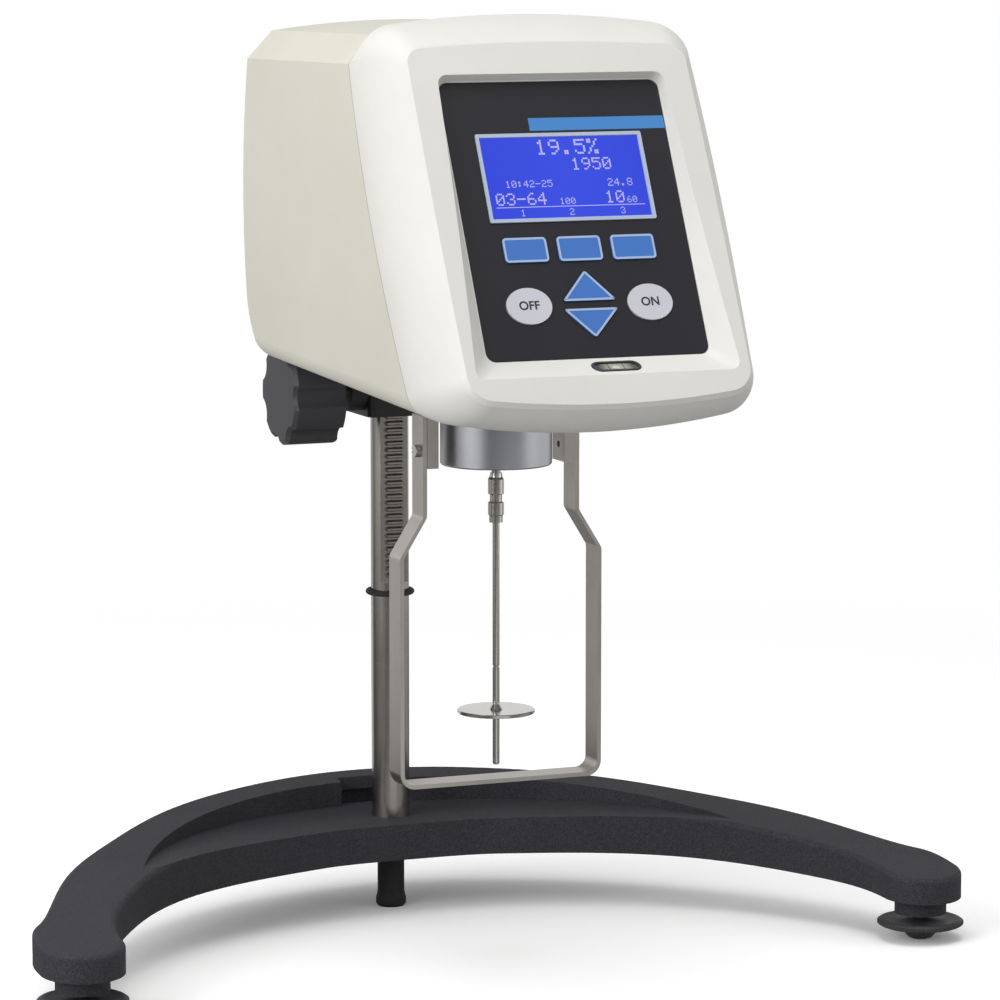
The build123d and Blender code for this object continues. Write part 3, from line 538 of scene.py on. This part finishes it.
# turned and knurled pieces
def turnedForm(profile, steps, shape):
    # profile in millimetres, distance from the axis and height along it; shape() gives each ray its own reach
    form = bmesh.new()
    line = [form.verts.new((r, 0, z)) for r, z in profile]
    for a, b in zip(line, line[1:]):
        form.edges.new((a, b))
    bmesh.ops.spin(form, geom=list(form.verts) + list(form.edges), cent=(0, 0, 0), axis=(0, 0, 1),
                   dvec=(0, 0, 0), angle=2 * math.pi, steps=steps, use_merge=True)
    bmesh.ops.remove_doubles(form, verts=list(form.verts), dist=weldGap)
    for v in form.verts:
        ray = round(math.atan2(v.co.y, v.co.x) / (2 * math.pi) * steps) % steps
        reach = shape(math.hypot(v.co.x, v.co.y), ray)
        v.co.x, v.co.y = v.co.x * reach, v.co.y * reach
    bmesh.ops.recalc_face_normals(form, faces=list(form.faces))
    return form


# heights from the bench; ease rounds the rim's edges, dish is the hollow of the top face, and crest gives the
# share of the pitch where a thread's top begins and ends
levellingWheel = {
    "x": 202.3, "y": -158.0, "rim": 20.0, "teeth": 66, "tooth": 0.55, "toothFrom": 0.1,
    "low": 6.2, "high": 9.6, "easeIn": 2.2, "easeMid": 1.2, "easeLow": 0.35, "easeHigh": 0.3, "edge": 1.1,
    "dishIn": 3.4, "dishHub": 7.0, "dishDeep": 0.25, "hub": 6.2,
    "thread": 4.0, "threadDeep": 0.45, "pitch": 1.25, "root": 0.3, "crest": (0.6, 0.8),
    "plain": 0.4, "tip": 0.5, "threadTop": 22.6, "bore": 2.6, "boreTop": 8.6, "smooth": 35,
}


def makeLevellingWheels(k):
    low, high, rim, thread, pitch = k["low"], k["high"], k["rim"], k["thread"], k["pitch"]
    profile = [(0, k["boreTop"]), (k["bore"], k["boreTop"]), (k["bore"], low), (rim - k["easeIn"], low),
               (rim - k["easeMid"], low + k["easeLow"]), (rim, low + k["edge"]), (rim, high - k["edge"]),
               (rim - k["easeMid"], high - k["easeHigh"]), (rim - k["easeIn"], high),
               (rim - k["dishIn"], high - k["dishDeep"]), (k["dishHub"], high - k["dishDeep"]),
               (k["hub"], high), (thread, high)]
    z = high
    while z + pitch < k["threadTop"] - k["plain"]:
        profile += [(thread - k["threadDeep"], z + k["root"]), (thread, z + pitch * k["crest"][0]),
                    (thread, z + pitch * k["crest"][1])]
        z += pitch
    profile += [(thread - k["tip"], k["threadTop"]), (0, k["threadTop"])]

    def knurl(r, ray):
        return (r - k["tooth"] * (ray % 2)) / r if r > rim - k["toothFrom"] else 1.0

    for side, name in ((-1, "left"), (1, "right")):
        form = turnedForm(profile, 2 * k["teeth"], knurl)
        form.transform(Matrix.Scale(mm, 4) @ Matrix.Translation((side * k["x"], k["y"], 0)))
        wheel = newPiece("knurled_wheel_" + name, form, "black_moulding", "wheel_" + name,
                         smooth=k["smooth"])
        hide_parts("levelling_wheel_" + name)


makeLevellingWheels(levellingWheel)

# start, head and end are distances along x from the rod's axis, and y and z place the knob's axis
tensionKnob = {
    "y": 3.0, "z": 250.0, "start": 11.2, "shank": 3.0, "tipIn": 0.5, "tipLong": 0.6,
    "head": 20.0, "end": 29.0, "rim": 8.0, "headEase": (1.0, 0.3), "endEase": (1.2, 0.4),
    "dimple": (4.6, 4.2), "dimpleDeep": 0.5, "flutes": 18, "flute": 0.7, "fluteFrom": 0.35, "smooth": 35,
}


def makeTensionKnob(k):
    rim, shank, start, head, end = k["rim"], k["shank"], k["start"], k["head"], k["end"]
    (wide, fine), (endWide, endFine) = k["headEase"], k["endEase"]
    profile = [(0, start), (shank - k["tipIn"], start), (shank, start + k["tipLong"]), (shank, head),
               (rim - wide, head), (rim - fine, head + fine), (rim, head + wide), (rim, end - endWide),
               (rim - endFine, end - endFine), (rim - endWide, end), (k["dimple"][0], end),
               (k["dimple"][1], end - k["dimpleDeep"]), (0, end - k["dimpleDeep"])]

    def flute(r, ray):
        return (r - k["flute"] * (ray % 4 == 2)) / r if r > rim - k["fluteFrom"] else 1.0

    form = turnedForm(profile, 4 * k["flutes"], flute)
    sideways = Matrix.Rotation(math.pi / 2, 4, "Y")
    form.transform(Matrix.Scale(mm, 4) @ Matrix.Translation((0, k["y"], k["z"])) @ sideways)
    knob = newPiece("fluted_tension_knob", form, "black_moulding", "tension",
                    smooth=k["smooth"])
    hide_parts("tension_screw")


makeTensionKnob(tensionKnob)
print("knurled pieces turned")

# bubble and centre lines of the level, on the vial in the ledge
levelMarks = {"x": 5.0, "y": -69.14, "out": 4.0, "run": (12.6, 10.0), "line": 3.4, "lineWide": 0.32,
              "long": 4.7, "bubble": (1.9, 1.25, 0.2), "bubbleSteps": (28, 14), "top": -0.3, "thick": 0.06}


def makeLevelMarks(k):
    lean = Matrix.Rotation(-math.atan2(k["run"][1], k["run"][0]), 4, "X")
    onLedge = onPanel(k["out"]) @ Matrix.Translation((k["x"], k["y"], 0)) @ lean
    onVial = onLedge @ Matrix.Translation((0, 0, k["top"]))
    wide, long = k["lineWide"] / 2, k["long"] / 2
    for side, name in ((-1, "left"), (1, "right")):
        x = side * k["line"]
        form = thicken(flatShape(oblong(x - wide, -long, x + wide, long)), k["thick"])
        form.transform(onVial)
        newPiece("level_line_" + name, form, "ink", "head", smooth=None)
    form = bmesh.new()
    around, along = k["bubbleSteps"]
    bmesh.ops.create_uvsphere(form, u_segments=around, v_segments=along, radius=1.0,
                              matrix=Matrix.Diagonal((*k["bubble"], 1)))
    form.transform(onVial)
    newPiece("level_bubble", form, "bubble", "head", smooth=60)


makeLevelMarks(levelMarks)

# parts behind the control board: place, width, height and how far each stands off
boardParts = {
    "chips": ((-30, 22, 14, 14, 1.8), (-4, 26, 22, 9, 2.4), (28, 24, 16, 10, 2.6), (-34, -12, 10, 7, 1.4),
              (-10, -10, 12, 12, 1.6), (14, -16, 8, 5, 1.2), (36, -8, 9, 18, 5.0), (-38, -40, 18, 7, 6.0),
              (4, -42, 30, 6, 5.0), (38, -42, 12, 8, 3.4)),
    "face": -25.6, "sunk": 0.01, "round": 0.35,
}


def makeBoardParts(k):
    form = bmesh.new()
    for x, y, wide, tall, high in k["chips"]:
        spot = Matrix.Translation((x, y, k["face"] - high / 2 + k["sunk"]))
        made = bmesh.ops.create_cube(form, size=1.0, matrix=spot @ Matrix.Diagonal((wide, tall, high, 1)))
        edges = list({edge for v in made["verts"] for edge in v.link_edges})
        bmesh.ops.bevel(form, geom=edges, offset=k["round"], offset_type="OFFSET", segments=2, profile=0.5,
                        affect="EDGES", material=-1)
    form.transform(onPanel())
    newPiece("board_parts", form, "clamp_black", "head", smooth=30)


makeBoardParts(boardParts)

# on and off marks on the two faces of the rocker: each has its place, and the rise and run of its face
rockerMarks = {"z": 348.0, "thick": 0.05, "bar": (0.7, 3.4), "ring": 1.7, "ringWide": 0.55, "ringSteps": 40,
               "on": ((-45.6, -19.9), (-1.8, 7.2)), "off": ((-38.4, -19.1), (3.4, 7.2))}


def makeRockerMarks(k):
    wide, tall = k["bar"][0] / 2, k["bar"][1] / 2
    bar = thicken(flatShape(oblong(-wide, -tall, wide, tall)), k["thick"])
    ring = bmesh.new()
    bmesh.ops.create_circle(ring, cap_ends=True, segments=k["ringSteps"], radius=k["ring"])
    ring = thicken(ring, k["thick"], k["ringWide"])
    for name, form in (("on", bar), ("off", ring)):
        (x, y), (rise, run) = k[name]
        turn = Matrix.Rotation(math.atan2(rise, run), 4, "Z") @ Matrix.Rotation(-math.pi / 2, 4, "X")
        form.transform(Matrix.Scale(mm, 4) @ Matrix.Translation((x, y, k["z"])) @ turn)
        newPiece("rocker_mark_" + name, form, "grey_film", "rocker", smooth=None)


makeRockerMarks(rockerMarks)
print("small parts placed")


# studio: a lamp is its name, place, aim, size and watts. Sky, walls and skirt are what metal sees round it:
# degrees to the right of the camera, and how bright. Ends are where a fade to the next tone starts and stops
studio = {
    "reach": 14.0, "centre": 0.1, "paper": 1.1, "lift": 0.07, "bounce": "#b4b4b4", "paperEnds": (0.55, 1.1),
    "mirrorEnds": (0.15, 0.3), "skirtEnds": (0.9, 1.5),
    "lamps": (
        ("leftBox", (-1.75, -0.75, 0.85), (0.0, -0.12, 0.25), (1.5, 1.3), 24.5),
        ("topBox", (-0.15, -0.35, 1.75), (0.0, -0.1, 0.1), (1.5, 1.2), 13.5),
        ("rightBox", (1.5, -1.2, 0.7), (0.0, -0.12, 0.25), (1.0, 1.2), 4.0),
    ),
    "room": 0.5, "skyEnds": (0.3, 0.5), "upper": 0.14, "upperEnds": (0.8, 0.95), "ceiling": 0.75,
    "sky": ((-180, 0.95), (-140, 0.95), (-118, 0.72), (-85, 0.78), (-66, 0.55), (-48, 0.28), (-30, 0.17),
            (-4, 0.19), (12, 0.48), (32, 0.85), (60, 0.97), (90, 0.84), (140, 0.95), (180, 0.95)),
    "walls": ((-180, 0.08), (-150, 0.6), (-132, 0.7), (-122, 0.3), (-102, 0.35), (-85, 0.74), (-66, 0.62),
              (-48, 0.4), (-34, 0.2), (-12, 0.08), (24, 0.05), (40, 0.2), (50, 0.42), (66, 0.88), (90, 1.0),
              (125, 1.0), (150, 0.85), (180, 0.3)),
    "skirt": ((-180, 0.05), (-160, 0.15), (-148, 0.9), (-131, 0.95), (-123, 0.1), (-100, 0.07), (-60, 0.19),
              (-18, 0.14), (-6, 0.24), (2, 0.75), (34, 0.75), (42, 0.2), (60, 0.17), (72, 0.34), (100, 0.36),
              (125, 0.4), (150, 0.2), (180, 0.2)),
}


def roomTone(w, x, y, levels):
    # brightness of the room in the direction of x and y
    yaw = math.radians(viewpoint["yaw"])
    facing = x * math.sin(yaw) - y * math.cos(yaw)
    across = x * math.cos(yaw) + y * math.sin(yaw)
    turn = across.combine("ARCTAN2", across, facing) / (2 * math.pi) + 0.5
    stops = [(angle / 360 + 0.5, grey(level)) for angle, level in levels]
    return w.node("ShaderNodeValToRGB", {"stops": stops}, {0: turn})


def rayKinds(w):
    path = w.node("ShaderNodeLightPath")
    kinds = ("Is Camera Ray", "Is Glossy Ray", "Is Transmission Ray")
    return [Signal(w, path.socket.node.outputs[name]) for name in kinds]


def paintFloor(material, s):
    # white paper to the eye, duller to the light that it throws back, and the room where metal mirrors it
    w = Wiring(material.node_tree)
    camera, glossy, through = rayKinds(w)
    seen = (camera + through).least(1.0)
    x, y = w.axes()[:2]
    away = (x * x + (y + s["centre"]) * (y + s["centre"])).power(0.5)
    paper = w.node("ShaderNodeBsdfDiffuse", {}, {"Color": seen.blend(tone(s["bounce"]), grey(s["paper"]))})
    white = w.node("ShaderNodeEmission", {}, {"Color": grey(1), "Strength": 1.0})
    skirt, walls = roomTone(w, x, y, s["skirt"]), roomTone(w, x, y, s["walls"])
    mirrored = away.between(*s["skirtEnds"]).blend(skirt, walls)
    room = w.node("ShaderNodeEmission", {}, {"Color": mirrored, "Strength": 1.0})
    lift = w.node("ShaderNodeEmission", {}, {"Color": seen.blend(grey(0), grey(1)), "Strength": s["lift"]})
    near = w.node("ShaderNodeAddShader", {}, {0: paper, 1: lift})
    lit = w.node("ShaderNodeMixShader", {}, {0: away.between(*s["paperEnds"]) * seen, 1: near, 2: white})
    shown = w.node("ShaderNodeMixShader", {}, {0: away.between(*s["mirrorEnds"]) * glossy, 1: lit, 2: room})
    w.node("ShaderNodeOutputMaterial", {}, {0: shown})


def makeFloor(s):
    form = bmesh.new()
    bmesh.ops.create_grid(form, x_segments=1, y_segments=1, size=s["reach"])
    mesh = bpy.data.meshes.new("floor")
    form.to_mesh(mesh)
    form.free()
    floor = bpy.data.objects.new("floor", mesh)
    scene.collection.objects.link(floor)
    material = bpy.data.materials.new("floorPaper")
    material.use_nodes = True
    paintFloor(material, s)
    mesh.materials.append(material)


def makeLamps(s):
    for name, spot, aim, size, power in s["lamps"]:
        data = bpy.data.lights.new(name, "AREA")
        data.shape, data.size, data.size_y, data.energy = "RECTANGLE", size[0], size[1], power
        lamp = bpy.data.objects.new(name, data)
        scene.collection.objects.link(lamp)
        lamp.location = spot
        lamp.rotation_mode = "QUATERNION"
        lamp.rotation_quaternion = (Vector(aim) - Vector(spot)).to_track_quat("-Z", "Y")


def makeWorld(s):
    # a white backdrop and an even light; metal sees bright walls with dark gaps
    world = bpy.data.worlds.new("studioRoom")
    scene.world = world
    world.use_nodes = True
    w = Wiring(world.node_tree)
    camera, glossy, through = rayKinds(w)
    x, y, z = w.axes(w.node("ShaderNodeTexCoord", output="Generated"))
    low = z.between(*s["skyEnds"]).blend(roomTone(w, x, y, s["sky"]), grey(s["upper"]))
    room = z.between(*s["upperEnds"]).blend(low, grey(s["ceiling"]))
    shown = glossy.blend(grey(1), room)
    level = s["room"] + (1.0 - s["room"]) * (camera + glossy + through).least(1.0)
    back = w.node("ShaderNodeBackground", {}, {"Color": shown, "Strength": level})
    w.node("ShaderNodeOutputWorld", {}, {0: back})


makeFloor(studio)
makeLamps(studio)
makeWorld(studio)
print("studio set")
